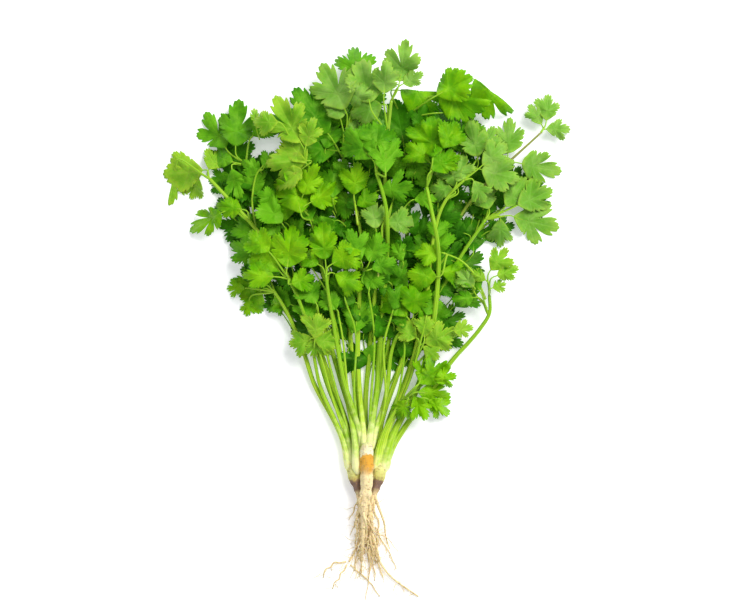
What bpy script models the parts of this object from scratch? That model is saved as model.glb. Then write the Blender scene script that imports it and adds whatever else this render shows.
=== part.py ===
"""A bunch of fresh coriander, lying down: four plants pulled with their roots.

The roots point towards -Y and the leaves spread towards +Y. Every root and leaf stalk is a
tapering rod, and every leaf is one thin lobed blade on a short stem. The pieces are laid on the
surface one by one, from the lowest to the topmost, and each rests on those already lying there.
"""

import math

import bmesh
import bpy
import numpy as np

# Driving dimensions. Plan places and sizes are in millimetres, and become metres in the mesh.
MM = 0.001
GAP = 0.5  # kept between pieces that touch
BLADE_THICKNESS = 0.5
PETIOLE_HALF_WIDTH = 0.8  # the short stem that carries a blade
PETIOLE_STEP = 10.0  # spacing of the rows along it
NOTCH = 1.5  # distance from a blade's base to where its surface begins
LOBE_ANGLE = math.radians(62)  # from a blade's middle lobe to each side lobe
LOBE_DEPTH = 0.34  # share of the reach that is missing between two lobes
FAN_HALF_ANGLE = math.radians(108)  # a blade spreads this far to each side of its heading
FAN_SEGMENTS = 14
FAN_RINGS = 3
ROD_STEP = 10.0  # spacing of the points along a stalk
ROOT_STEP = 7.0
ROD_SLACK = 0.3  # spare height under a rod between its points
CELL = 0.8  # the pile's height is kept on squares of this side
ROD_STIFFNESS = 16.0  # a stalk bridges hollows shorter than this
BLADE_STIFFNESS = 9.0  # and a blade those shorter than this
BLEND = 8  # steps between neighbouring corners of a blade where its clearance is tested
LIFTS = 3  # times a blade is lifted where it is short of its clearance
PLAN_HALF_X, PLAN_HALF_Y = 132.0, 168.0

# Name: (radius at the crown, at the shoulder's foot, at the tip), plan route from crown to tip.
ROOTS = {
    "root_back": ((4.2, 2.6, 0.5), [(0, -76), (0, -90), (-1, -106), (3, -122), (12, -138), (28, -150)]),
    "root_left": ((5.4, 2.6, 0.8), [(-10, -77.3), (-8, -87), (-5, -97), (-5, -110), (-6, -121), (-10, -131)]),
    "root_right": ((5.4, 2.6, 0.7), [(10, -77.3), (8, -88), (4, -98), (3, -110), (6, -121), (7, -130)]),
    "root_front": ((4.4, 3.0, 0.6), [(0, -66.3), (0, -76), (0, -88), (-2, -102), (-3, -118), (-3, -137)]),
}
# Name: radius at each end, plan route.
ROOTLETS = {
    "rootlet_1": ((0.8, 0.4), [(-11.6, -131.2), (-18, -132), (-22, -135), (-24, -140)]),
    "rootlet_2": ((0.7, 0.4), [(-9, -132.8), (-3, -138), (2, -143), (7, -150)]),
    "rootlet_3": ((0.7, 0.4), [(6.4, -112), (11, -120), (14, -128), (16, -135)]),
    "rootlet_4": ((0.7, 0.4), [(-11, -133), (-14, -138), (-17, -142), (-19, -146)]),
}
# Name: radius at each end, how far its end springs up off the pile, plan route to the leaf.
STALKS = {
    "stalk_back_1": ((1.2, 0.8), 12, [(0, -75), (-1, -46), (2, -10), (5, 22), (9, 55), (10, 87), (13, 118)]),
    "stalk_back_2": ((1.2, 0.8), 8, [(-3.6, -75), (-6, -46), (-9, -10), (-12, 28), (-13, 62), (-13, 93)]),
    "stalk_back_3": ((1.2, 0.8), 7, [(3.6, -75), (5, -46), (12, -10), (19, 28), (23, 66), (19, 110)]),
    "stalk_left_1": ((1.3, 0.9), 6, [(-10.8, -76), (-16, -46), (-26, -15), (-37, 12), (-48, 33), (-60, 50), (-85, 77)]),
    "stalk_left_2": ((1.3, 0.8), 7, [(-7.2, -76), (-11, -46), (-20, -13), (-31, 20), (-44, 47), (-57, 71), (-66, 85)]),
    "stalk_left_3": ((1.3, 0.8), 14, [(-7.8, -76), (-11, -46), (-16, -10), (-23, 22), (-29, 55), (-34, 82)]),
    "stalk_left_4": ((1.3, 0.8), 10, [(-14.4, -76), (-21, -56), (-29, -34), (-36, -12), (-44, 6), (-50, 16)]),
    "stalk_left_5": ((1.2, 0.8), 14, [(-11.2, -76), (-17, -52), (-23, -30), (-30, -8), (-36, 10), (-42, 23)]),
    "stalk_left_6": ((1.2, 0.8), 3, [(-14.6, -76), (-21, -54), (-26, -34), (-29, -17)]),
    "stalk_right_1": ((1.3, 0.8), 8, [(7.2, -76), (11, -48), (21, -15), (32, 17), (46, 49), (62, 72), (94, 102)]),
    "stalk_right_2": ((1.3, 0.8), 10, [(10.8, -76), (16, -48), (27, -15), (38, 12), (50, 34), (64, 55)]),
    "stalk_right_3": ((1.2, 0.8), 12, [(10.9, -76), (17, -49), (25, -21), (32, 12), (35, 40), (41, 63), (52, 76)]),
    "stalk_right_4": ((1.6, 0.9), 20, [(14.4, -76), (21, -56), (29, -32), (35, -6), (38, 20), (38, 40), (32, 72)]),
    "stalk_right_5": ((1.4, 0.9), 12, [(14.6, -76), (25, -60), (34, -42), (44, -24), (58, -8), (66, 4), (66, 14)]),
    "stalk_right_6": ((1.2, 0.8), 3, [(7.6, -76), (12, -60), (20, -43)]),
    "stalk_front_1": ((1.5, 0.9), 20, [(2, -65), (5, -42), (7, -13), (9, 12), (11, 40), (10, 62), (5, 79)]),
    "stalk_front_2": ((1.3, 0.8), 14, [(-2, -65), (-4, -42), (-5, -15), (-4, 17), (-3, 42), (-6, 62)]),
    "stalk_front_3": ((1.3, 0.8), 10, [(4.5, -65), (10, -45), (12, -26), (14, -13), (18, -6), (23, -1)]),
    "stalk_front_4": ((1.3, 0.8), 14, [(-4.5, -65), (-8, -50), (-13, -30), (-17, -8), (-20, 10), (-22, 25)]),
}
# Name: where its stem leaves the stalk, the blade's base, heading in degrees from +X, length,
# width, how far its tip rises above its base, how far its sides do, and its tone.
LEAVES = {
    "leaf_back_1": ((13, 119), (18, 128), 75, 22, 20, 8, 5, "mid"),
    "leaf_back_2": ((10, 101), (6, 121), 97, 26, 24, 9, -5, "pale"),
    "leaf_back_3": ((-13, 94), (-12, 106), 97, 40, 32, 6, -7, "pale"),
    "leaf_back_4": ((-13, 88), (-19, 100), 125, 33, 26, -4, 5, "mid"),
    "leaf_back_5": ((19, 111), (20, 120), 4, 33, 20, 3, -9, "dark"),
    "leaf_back_6": ((21, 112), (51, 128), -22, 30, 20, -4, -7, "dark"),
    "leaf_back_7": ((21, 86), (20, 94), 98, 25, 30, 5, 4, "dark"),
    "leaf_left_1": ((-86, 78), (-88, 80), 190, 23, 30, -22, -8, "mid"),
    "leaf_left_2": ((-62, 54), (-78, 58), 196, 21, 16, -14, 6, "bright"),
    "leaf_left_3": ((-50, 37), (-57, 39), 142, 20, 20, -6, 4, "dark"),
    "leaf_left_4": ((-67, 86), (-70, 88), 98, 30, 30, -8, -5, "mid"),
    "leaf_left_5": ((-48, 53), (-51, 60), 140, 33, 38, -6, 6, "dark"),
    "leaf_left_6": ((-34, 83), (-36, 87), 115, 38, 30, 6, 7, "young"),
    "leaf_left_7": ((-30, 53), (-35, 56), 85, 29, 29, 7, -6, "bright"),
    "leaf_left_8": ((-51, 17), (-53, 19), 188, 23, 27, -14, -5, "bright"),
    "leaf_left_9": ((-43, 24), (-45, 27), 112, 27, 27, 6, 5, "bright"),
    "leaf_left_10": ((-29, -16), (-29, -13), 105, 18, 27, 3, 4, "young"),
    "leaf_right_1": ((94, 103), (95, 105), 62, 19, 26, -5, 4, "mid"),
    "leaf_right_2": ((73, 84), (77, 87), 40, 26, 34, -12, -5, "mid"),
    "leaf_right_3": ((65, 56), (72, 59), -8, 32, 44, -16, -6, "mid"),
    "leaf_right_4": ((53, 77), (59, 81), -8, 22, 19, 3, 5, "mid"),
    "leaf_right_5": ((52, 78), (58, 87), 97, 24, 19, -4, 5, "pale"),
    "leaf_right_6": ((43, 66), (49, 71), 102, 22, 22, 6, 5, "pale"),
    "leaf_right_7": ((32, 73), (35, 87), 84, 26, 30, 8, -6, "bright"),
    "leaf_right_8": ((66, 15), (68, 29), 48, 15, 16, -6, 4, "young"),
    "leaf_right_9": ((63, 4), (61, 16), 150, 16, 17, 3, 4, "mid"),
    "leaf_right_10": ((20, -42), (22, -39), 2, 28, 31, -16, 3, "young"),
    "leaf_front_1": ((5, 80), (4, 87), 108, 22, 30, 6, -6, "bright"),
    "leaf_front_2": ((-4, 27), (-1, 33), 128, 19, 22, 6, 5, "bright"),
    "leaf_front_3": ((15, -11), (31, -13), 35, 22, 25, 4, 5, "bright"),
    "leaf_front_4": ((23, 0), (24, 1), 122, 19, 19, 6, 4, "mid"),
    "leaf_front_5": ((-22, 26), (-22, 29), 75, 24, 26, 7, 5, "bright"),
}
# Red, green, blue of each tissue, linear.
TONES = {
    "bright": (0.13, 0.40, 0.02),
    "mid": (0.07, 0.29, 0.015),
    "dark": (0.02, 0.13, 0.01),
    "pale": (0.22, 0.46, 0.08),
    "young": (0.28, 0.52, 0.04),
    "stalk": (0.38, 0.60, 0.10),
    "root": (0.72, 0.52, 0.26),
}
ROUGHNESS = {"stalk": 0.4, "root": 0.75}
LEAF_ROUGHNESS = 0.5


def clear_scene():
    for item in list(bpy.data.objects):
        bpy.data.objects.remove(item, do_unlink=True)


def tissue(name, tone):
    """The material of one piece: its tone, and the roughness of its kind."""
    material = bpy.data.materials.new(name)
    material.use_nodes = True
    shader = material.node_tree.nodes["Principled BSDF"]
    shader.inputs["Base Color"].default_value = (*TONES[tone], 1.0)
    shader.inputs["Roughness"].default_value = ROUGHNESS.get(tone, LEAF_ROUGHNESS)
    shader.inputs["Metallic"].default_value = 0.0
    return material


def add_piece(name, data, tone, bunch):
    piece = bpy.data.objects.new(name, data)
    data.materials.append(tissue(name, tone))
    bunch.objects.link(piece)
    return piece


# ---- The pile: how high the pieces already laid reach, seen from above ----


def window_pass(field, cells, combine):
    """The field with each square combined with its neighbours up to this many squares away."""
    for axis in (0, 1):
        padded = np.pad(field, [(cells, cells) if a == axis else (0, 0) for a in (0, 1)], mode="edge")
        reach = np.arange(field.shape[axis])
        field = combine(np.stack([np.take(padded, reach + k, axis) for k in range(2 * cells + 1)]))
    return field


def highest(stack):
    return stack.max(axis=0)


def average(stack):
    return stack.mean(axis=0)


class Pile:
    def __init__(self):
        self.top = np.zeros((round(2 * PLAN_HALF_X / CELL), round(2 * PLAN_HALF_Y / CELL)))

    def squares(self, x, y):
        i = np.clip(((x + PLAN_HALF_X) / CELL).astype(int), 0, self.top.shape[0] - 1)
        j = np.clip(((y + PLAN_HALF_Y) / CELL).astype(int), 0, self.top.shape[1] - 1)
        return i, j

    def cover(self, reach):
        """A smooth surface that nowhere dips under the pile, and bridges hollows of this reach."""
        cells = max(1, round(reach / CELL / 2))
        return window_pass(window_pass(self.top, cells, highest), cells, average)

    def read(self, field, x, y):
        """The field at plan places, blended between its squares."""
        u = np.clip((x + PLAN_HALF_X) / CELL - 0.5, 0, field.shape[0] - 1.001)
        v = np.clip((y + PLAN_HALF_Y) / CELL - 0.5, 0, field.shape[1] - 1.001)
        i, j = u.astype(int), v.astype(int)
        a, b = u - i, v - j
        near = field[i, j] * (1 - b) + field[i, j + 1] * b
        far = field[i + 1, j] * (1 - b) + field[i + 1, j + 1] * b
        return near * (1 - a) + far * a

    def raise_to(self, x, y, z):
        i, j = self.squares(np.ravel(x), np.ravel(y))
        np.maximum.at(self.top, (i, j), np.ravel(z))


# ---- Rods: taproots, rootlets and leaf stalks ----


def smooth_route(route, step):
    """Points this far apart on the smooth curve through the route's own points."""
    route = np.array(route, float)
    ends = np.vstack([2 * route[0] - route[1], route, 2 * route[-1] - route[-2]])
    t = np.linspace(0, 1, 40, endpoint=False)[:, None]
    pieces = []
    for p0, p1, p2, p3 in zip(ends, ends[1:], ends[2:], ends[3:]):
        bend = (2 * p0 - 5 * p1 + 4 * p2 - p3) * t**2 + (3 * p1 - p0 - 3 * p2 + p3) * t**3
        pieces.append(p1 + 0.5 * ((p2 - p0) * t + bend))
    dense = np.vstack([*pieces, route[-1:]])
    along = np.concatenate([[0], np.cumsum(np.linalg.norm(np.diff(dense, axis=0), axis=1))])
    count = max(4, round(along[-1] / step) + 1)
    places = np.linspace(0, along[-1], count)
    return places, np.stack([np.interp(places, along, dense[:, k]) for k in (0, 1)], axis=1)


def running(row, cells, combine):
    """Combines each value of a row with its neighbours up to this many places away."""
    padded = np.pad(row, cells, mode="edge")
    return combine(np.stack([padded[k : k + len(row)] for k in range(2 * cells + 1)]))


def lay_rod(pile, route, radius_at, step, spring=0.0):
    """Lays a rod on the pile along a plan route; gives its points and their radii.

    The rod bridges short hollows, and its end springs up by the given height.
    """
    fine, plan = smooth_route(route, 1.0)
    radii = radius_at(fine / fine[-1])
    heading = np.gradient(plan, axis=0)
    heading /= np.linalg.norm(heading, axis=1)[:, None]
    across = np.stack([-heading[:, 1], heading[:, 0]], axis=1)
    shares = np.linspace(-1, 1, 9)
    sides = [plan + across * (radii * share)[:, None] for share in shares]
    swell = [radii * math.sqrt(1 - share**2) for share in shares]
    need = highest(np.stack([pile.read(pile.top, *side.T) + up for side, up in zip(sides, swell)]))
    cells = round(min(ROD_STIFFNESS, fine[-1] / 3) / fine[1] / 2)
    rest = running(running(need + GAP + ROD_SLACK, cells, highest), cells, average)
    rest += spring * (fine / fine[-1]) ** 2
    places, points = smooth_route(route, step)
    z = np.interp(places, fine, rest)
    lie = np.interp(fine, places, z)
    for side, up in zip(sides, swell):
        pile.raise_to(side[:, 0], side[:, 1], lie + up)
    return np.column_stack([points, z]), radius_at(places / places[-1])


def rod(name, points, radii, tone, bunch):
    """A rod with round sections and closed ends along its points."""
    curve = bpy.data.curves.new(name, "CURVE")
    curve.dimensions = "3D"
    curve.bevel_depth = MM
    curve.bevel_resolution = 2
    curve.use_fill_caps = True
    spline = curve.splines.new("POLY")
    spline.points.add(len(points) - 1)
    for point, place, radius in zip(spline.points, points, radii):
        point.co = (*(place * MM), 1.0)
        point.radius = radius
    return add_piece(name, curve, tone, bunch)


def root_radius(crown, shoulder, tip):
    """A taproot: a short thick crown, a shoulder, then a long taper to the tip."""
    return lambda t: np.interp(t, [0, 0.05, 0.2, 0.35, 1], [crown * 0.95, crown, crown * 0.8, shoulder, tip])


def stalk_radius(base, end):
    """A leaf stalk: a wide foot at the crown, then an even taper."""
    return lambda t: np.interp(t, [0, 0.06, 1], [base * 1.1, base, end])


# ---- Blades: the leaves ----


def blade_outline(angle, length, width):
    """How far a blade reaches at an angle from its heading: a middle lobe and two side lobes.

    The middle lobe reaches the full length and the side lobes half the width; between them the
    outline falls back by the lobe depth.
    """
    side = 0.5 * width / math.sin(LOBE_ANGLE)
    reach = np.interp(np.abs(angle), [0, LOBE_ANGLE, FAN_HALF_ANGLE], [length, side, side * 0.7])
    between = 0.5 - 0.5 * np.cos(angle * 2 * math.pi / LOBE_ANGLE)
    return reach * (1 - LOBE_DEPTH * between)


def blade_grid(stem, base, heading, length, width):
    """Plan places of a blade's surface: rows across its stem, then rings that fan out from its base."""
    stem, base = np.array(stem, float), np.array(base, float)
    turn = math.radians(heading)
    forward = np.array([math.cos(turn), math.sin(turn)])
    left = np.array([-forward[1], forward[0]])
    angle = np.linspace(-FAN_HALF_ANGLE, FAN_HALF_ANGLE, FAN_SEGMENTS + 1)
    full = blade_outline(angle, length, width)
    rings = []
    run = base - stem
    distance = float(np.hypot(*run))
    if distance > 2 * NOTCH:
        run = run / distance
        across = np.array([-run[1], run[0]])
        width_places = np.where(angle < 0.5 * (angle[1] - angle[0]), -1, 1) * PETIOLE_HALF_WIDTH
        for share in np.linspace(0, 1, max(1, round(distance / PETIOLE_STEP)), endpoint=False):
            rings.append(stem + run * (distance * share) + np.outer(width_places, across))
    for ring in range(FAN_RINGS + 1):
        reach = NOTCH + (full - NOTCH) * ring / FAN_RINGS
        rings.append(base + np.outer(reach * np.cos(angle), forward) + np.outer(reach * np.sin(angle), left))
    places = np.array(rings)
    ahead = (places - base) @ forward / length
    aside = (places - base) @ left / (0.5 * width)
    return places, ahead, aside


def blend_between(field, times):
    """The rows and columns of a field with this many blended steps between neighbours."""
    for axis in (0, 1):
        size = field.shape[axis]
        place = np.linspace(0, size - 1, (size - 1) * times + 1)
        low = np.minimum(place.astype(int), size - 2)
        shape = [1] * field.ndim
        shape[axis] = -1
        share = (place - low).reshape(shape)
        field = np.take(field, low, axis) * (1 - share) + np.take(field, low + 1, axis) * share
    return field


def lay_blade(pile, stem, base, heading, length, width, rise, side):
    """Lays a blade over the pile: it keeps its own rise and cup where the pile leaves it free."""
    places, ahead, aside = blade_grid(stem, base, heading, length, width)
    cover = pile.cover(BLADE_STIFFNESS)
    rest = pile.read(cover, places[..., 0], places[..., 1]) + GAP + 0.5 * BLADE_THICKNESS
    foot = rest[0].mean()
    own = foot + rise * np.clip(ahead, 0, None) ** 1.3 + side * np.minimum(np.abs(aside), 1.2) ** 1.5
    height = np.maximum(own, rest)
    for _ in range(LIFTS):
        x, y, z = np.moveaxis(blend_between(np.dstack([places, height]), BLEND), 2, 0)
        short = pile.read(cover, x, y) + GAP + 0.5 * BLADE_THICKNESS - z
        height += window_pass(np.maximum(short, 0), BLEND, highest)[::BLEND, ::BLEND]
    x, y, z = np.moveaxis(blend_between(np.dstack([places, height]), BLEND), 2, 0)
    pile.raise_to(x, y, z + 0.5 * BLADE_THICKNESS)
    return np.dstack([places, height])


def blade(name, surface, tone, bunch):
    """A thin closed blade: a grid of faces bent round into the fan, then thickened."""
    rows, columns = surface.shape[:2]
    form = bmesh.new()
    bmesh.ops.create_grid(form, x_segments=columns - 1, y_segments=rows - 1, size=0.5)
    for vertex in form.verts:
        column = round((vertex.co.x + 0.5) * (columns - 1))
        row = round((vertex.co.y + 0.5) * (rows - 1))
        vertex.co = surface[row, column] * MM
    # Across its stem the grid's columns lie on the two edges, where they become one corner each.
    bmesh.ops.remove_doubles(form, verts=form.verts, dist=0.001 * MM)
    bmesh.ops.recalc_face_normals(form, faces=form.faces)
    mesh = bpy.data.meshes.new(name)
    form.to_mesh(mesh)
    form.free()
    piece = add_piece(name, mesh, tone, bunch)
    shell = piece.modifiers.new("thickness", "SOLIDIFY")
    shell.thickness = BLADE_THICKNESS * MM
    shell.offset = 0.0
    return piece


# ---- The bunch ----


def lay_root(pile, name, bunch):
    sizes, route = ROOTS[name]
    points, radii = lay_rod(pile, route, root_radius(*sizes), ROOT_STEP)
    return rod(name, points, radii, "root", bunch)


def lay_rootlet(pile, name, bunch):
    (start, end), route = ROOTLETS[name]
    points, radii = lay_rod(pile, route, lambda t: start + (end - start) * t, ROOT_STEP)
    return rod(name, points, radii, "root", bunch)


def lay_stalk(pile, name, bunch):
    sizes, spring, route = STALKS[name]
    points, radii = lay_rod(pile, route, stalk_radius(*sizes), ROD_STEP, spring)
    return rod(name, points, radii, "stalk", bunch)


def lay_leaf(pile, name, bunch):
    *shape, tone = LEAVES[name]
    return blade(name, lay_blade(pile, *shape), tone, bunch)


# From the lowest piece to the topmost.
LAID = """
root_back root_left root_right rootlet_1 rootlet_2 rootlet_3 rootlet_4
stalk_back_3 leaf_back_7 leaf_back_5 leaf_back_6
stalk_right_1 leaf_right_1 leaf_right_2
stalk_left_1 leaf_left_1 leaf_left_3
stalk_left_2 leaf_left_5 leaf_left_4 leaf_left_2
stalk_back_1 leaf_back_1 leaf_back_2
stalk_back_2 leaf_back_4 leaf_back_3
stalk_right_2 leaf_right_3
stalk_right_3 leaf_right_5 leaf_right_4 leaf_right_6
stalk_left_3 leaf_left_7 leaf_left_6
stalk_left_4 leaf_left_8
stalk_left_5 leaf_left_9
stalk_right_6
stalk_right_5 leaf_right_9 leaf_right_8
stalk_right_4 leaf_right_7
leaf_right_10
stalk_left_6
root_front
stalk_front_4 leaf_front_5 leaf_left_10
stalk_front_2 leaf_front_2
stalk_front_3 leaf_front_4 leaf_front_3
stalk_front_1 leaf_front_1
""".split()
LAY = {"root": lay_root, "rootlet": lay_rootlet, "stalk": lay_stalk, "leaf": lay_leaf}


def stand_on_origin(pieces):
    """Moves every piece so that the bunch's box has the middle of its underside at the origin."""
    bpy.context.view_layer.update()
    graph = bpy.context.evaluated_depsgraph_get()
    corners = []
    for piece in pieces:
        mesh = piece.evaluated_get(graph).to_mesh()
        places = np.empty(len(mesh.vertices) * 3)
        mesh.vertices.foreach_get("co", places)
        corners += [places.reshape(-1, 3).min(axis=0), places.reshape(-1, 3).max(axis=0)]
        piece.evaluated_get(graph).to_mesh_clear()
    low, high = np.min(corners, axis=0), np.max(corners, axis=0)
    for piece in pieces:
        piece.location = (-(low[0] + high[0]) / 2, -(low[1] + high[1]) / 2, -low[2])


def main():
    clear_scene()
    bunch = bpy.data.collections.new("coriander_bunch")
    bpy.context.scene.collection.children.link(bunch)
    pile = Pile()
    pieces = [LAY[name.split("_")[0]](pile, name, bunch) for name in LAID]
    stand_on_origin(pieces)


main()
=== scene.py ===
import bpy
import numpy as np
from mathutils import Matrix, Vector


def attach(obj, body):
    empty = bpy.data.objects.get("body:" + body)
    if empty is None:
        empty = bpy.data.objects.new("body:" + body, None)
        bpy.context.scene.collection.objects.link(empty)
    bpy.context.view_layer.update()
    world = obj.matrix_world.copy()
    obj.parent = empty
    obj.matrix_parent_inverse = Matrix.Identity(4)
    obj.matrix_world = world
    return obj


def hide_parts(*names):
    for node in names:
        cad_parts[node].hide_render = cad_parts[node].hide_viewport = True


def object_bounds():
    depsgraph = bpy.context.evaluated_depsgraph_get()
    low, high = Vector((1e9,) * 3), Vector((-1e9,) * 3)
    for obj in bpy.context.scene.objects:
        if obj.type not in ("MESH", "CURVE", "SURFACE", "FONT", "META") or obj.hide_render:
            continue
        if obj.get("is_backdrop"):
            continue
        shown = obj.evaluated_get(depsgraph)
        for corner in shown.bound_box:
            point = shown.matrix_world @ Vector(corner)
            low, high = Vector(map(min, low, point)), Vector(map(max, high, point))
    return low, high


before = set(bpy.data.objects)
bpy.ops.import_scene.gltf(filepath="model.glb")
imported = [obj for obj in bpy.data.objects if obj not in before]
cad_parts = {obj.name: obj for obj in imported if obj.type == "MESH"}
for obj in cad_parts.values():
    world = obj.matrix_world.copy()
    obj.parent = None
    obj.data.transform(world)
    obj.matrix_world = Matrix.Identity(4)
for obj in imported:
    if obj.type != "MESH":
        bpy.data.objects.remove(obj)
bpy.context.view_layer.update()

# ---- The table top and its light ----
# A plain white table top, wide enough to run out of view, lit as in a daylight studio: a pale
# sky all round and one broad soft lamp high up beyond the leaves, to the right. The top gives off
# some light of its own, which keeps the shadows on it and between the leaves pale.

MM = 0.001
MIDDLE = (3.4, 12.1)  # point of the table under the camera, mm
EYE_HEIGHT, MEAN_HEIGHT = 1200.0, 12.0  # of the camera, and of most leaves, mm
VIEW_WIDTH = 402.3  # width of the view at that mean height, mm
LAMP_PLACE, LAMP_SIDE, LAMP_WATTS = (0.85, 0.95, 1.6), 1.0, 42.0
SKY_STRENGTH, TABLE_GLOW = 0.58, 0.3
TABLE_REACH = 6.0  # from the middle of the table top to each side, m


def matte(name, colour, rough, mottle, size, glow):
    """Plain matte sheet that gives off some light too: its colour, mottled by noise of that size in m."""
    paint = bpy.data.materials.new(name)
    paint.use_nodes = True
    nodes, links = paint.node_tree.nodes, paint.node_tree.links
    place = nodes.new("ShaderNodeTexCoord")
    cloud = nodes.new("ShaderNodeTexNoise")
    cloud.inputs["Scale"].default_value = 1 / size
    shade = nodes.new("ShaderNodeMapRange")
    shade.inputs["To Min"].default_value = 1 - mottle
    shade.inputs["To Max"].default_value = 1.0
    hue = nodes.new("ShaderNodeMix")
    hue.data_type, hue.blend_type = "RGBA", "MULTIPLY"
    hue.inputs["Factor"].default_value = 1.0
    hue.inputs["A"].default_value = (*colour, 1)
    links.new(place.outputs["Object"], cloud.inputs["Vector"])
    links.new(cloud.outputs["Fac"], shade.inputs["Value"])
    links.new(shade.outputs["Result"], hue.inputs["B"])
    shader = nodes["Principled BSDF"]
    links.new(hue.outputs["Result"], shader.inputs["Base Color"])
    shader.inputs["Roughness"].default_value = rough
    shader.inputs["Emission Color"].default_value = (*colour, 1)
    shader.inputs["Emission Strength"].default_value = glow
    return paint


table_mesh = bpy.data.meshes.new("table_top")
corners = [(TABLE_REACH * x, TABLE_REACH * y, 0) for x, y in ((-1, -1), (1, -1), (1, 1), (-1, 1))]
table_mesh.from_pydata(corners, [], [(0, 1, 2, 3)])
table_mesh.materials.append(matte("white_table", (0.93, 0.935, 0.95), 0.7, 0.01, 0.5, TABLE_GLOW))
table_top = bpy.data.objects.new("table_top", table_mesh)
bpy.context.scene.collection.objects.link(table_top)
table_top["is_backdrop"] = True

sky = bpy.data.worlds.new("pale_sky")
sky.use_nodes = True
sky.node_tree.nodes["Background"].inputs["Color"].default_value = (0.97, 0.985, 1.0, 1)
sky.node_tree.nodes["Background"].inputs["Strength"].default_value = SKY_STRENGTH
bpy.context.scene.world = sky

lamp_data = bpy.data.lights.new("soft_lamp", "AREA")
lamp_data.shape, lamp_data.size, lamp_data.energy = "SQUARE", LAMP_SIDE, LAMP_WATTS
lamp_data.color = (1.0, 0.985, 0.95)
lamp = bpy.data.objects.new("soft_lamp", lamp_data)
lamp.location = LAMP_PLACE
lamp.rotation_euler = (-Vector(LAMP_PLACE)).to_track_quat("-Z", "Y").to_euler()
bpy.context.scene.collection.objects.link(lamp)

eye_data = bpy.data.cameras.new("overhead_camera")
eye_data.sensor_width = 36.0
eye_data.lens = eye_data.sensor_width * (EYE_HEIGHT - MEAN_HEIGHT) / VIEW_WIDTH
eye_data.clip_end = 20.0
eye = bpy.data.objects.new("overhead_camera", eye_data)
eye.location = (MIDDLE[0] * MM, MIDDLE[1] * MM, EYE_HEIGHT * MM)
bpy.context.scene.collection.objects.link(eye)
bpy.context.scene.camera = eye
bpy.context.scene.view_settings.view_transform = "Standard"

# ---- Leaf stalks ----
# Nineteen juicy stalks grow from the crowns of the four plants and carry the leaves. Each is a
# thin rod with fine ribs along it, swollen and nearly white at its foot, yellow-green above.

SHIFT = np.array([0.43, 0.53])  # from the plan of the routes below to the frame, mm
STALK_STEP = 10.0  # between the ring centres of a CAD stalk, mm
STALK_SIDES, STALK_RIBS = 20, 7
RIB_DEPTH = 0.055  # share of the radius
SHEATH = 6.5  # length of a stalk's foot inside the crown, mm
GRIP = 0.3  # how far stalks and roots press in towards the middle at the crowns

# Name: radius at foot and tip, how red its upper end is, plan route from crown to leaf, mm.
STALKS = {
    "stalk_back_1": (1.25, 0.8, 0.25, [(0, -75), (-1, -46), (2, -10), (5, 22), (9, 55), (10, 87), (13, 118)]),
    "stalk_back_2": (1.25, 0.8, 0.0, [(-3.6, -75), (-6, -46), (-9, -10), (-12, 28), (-13, 62), (-13, 93)]),
    "stalk_back_3": (1.25, 0.8, 0.5, [(3.6, -75), (5, -46), (12, -10), (19, 28), (23, 66), (19, 110)]),
    "stalk_left_1": (1.35, 0.9, 0.0, [
        (-10.8, -76), (-16, -46), (-26, -15), (-37, 12), (-48, 33), (-60, 50), (-85, 77)]),
    "stalk_left_2": (1.35, 0.8, 0.0, [
        (-7.2, -76), (-11, -46), (-20, -13), (-31, 20), (-44, 47), (-57, 71), (-66, 85)]),
    "stalk_left_3": (1.35, 0.8, 0.0, [(-7.8, -76), (-11, -46), (-16, -10), (-23, 22), (-29, 55), (-34, 82)]),
    "stalk_left_4": (1.4, 0.8, 0.0, [(-14.4, -76), (-21, -56), (-29, -34), (-36, -12), (-44, 6), (-50, 16)]),
    "stalk_left_5": (1.25, 0.8, 0.0, [(-11.2, -76), (-17, -52), (-23, -30), (-30, -8), (-36, 10), (-42, 23)]),
    "stalk_left_6": (1.25, 0.8, 0.0, [(-14.6, -76), (-21, -54), (-26, -34), (-29, -17)]),
    "stalk_right_1": (1.35, 0.5, 0.7, [
        (7.2, -76), (11, -48), (21, -15), (32, 17), (46, 49), (62, 72), (94, 102)]),
    "stalk_right_2": (1.35, 0.8, 0.1, [(10.8, -76), (16, -48), (27, -15), (38, 12), (50, 34), (64, 55)]),
    "stalk_right_3": (1.25, 0.8, 0.1, [
        (10.9, -76), (17, -49), (25, -21), (32, 12), (35, 40), (41, 63), (52, 76)]),
    "stalk_right_4": (1.7, 0.9, 0.0, [
        (14.4, -76), (21, -56), (29, -32), (35, -6), (38, 20), (38, 40), (32, 72)]),
    "stalk_right_5": (1.45, 0.9, 0.1, [
        (14.6, -76), (25, -60), (34, -42), (44, -24), (58, -8), (66, 4), (66, 14)]),
    "stalk_right_6": (1.25, 0.8, 0.0, [(7.6, -76), (12, -60), (20, -43)]),
    "stalk_front_1": (1.5, 0.9, 0.0, [(2, -65), (5, -42), (7, -13), (9, 12), (11, 40), (10, 62), (5, 79)]),
    "stalk_front_2": (1.35, 0.8, 0.0, [(-2, -65), (-4, -42), (-5, -15), (-4, 17), (-3, 42), (-6, 62)]),
    "stalk_front_3": (1.35, 0.8, 0.0, [(4.5, -65), (10, -45), (12, -26), (14, -13), (18, -6), (23, -1)]),
    "stalk_front_4": (1.35, 0.8, 0.0, [(-4.5, -65), (-8, -50), (-13, -30), (-17, -8), (-20, 10), (-22, 25)]),
}


def smooth(value, low, high):
    """0 below low, 1 above high, and 3 t^2 - 2 t^3 between them."""
    t = np.clip((value - low) / (high - low), 0, 1)
    return t * t * (3 - 2 * t)


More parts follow.
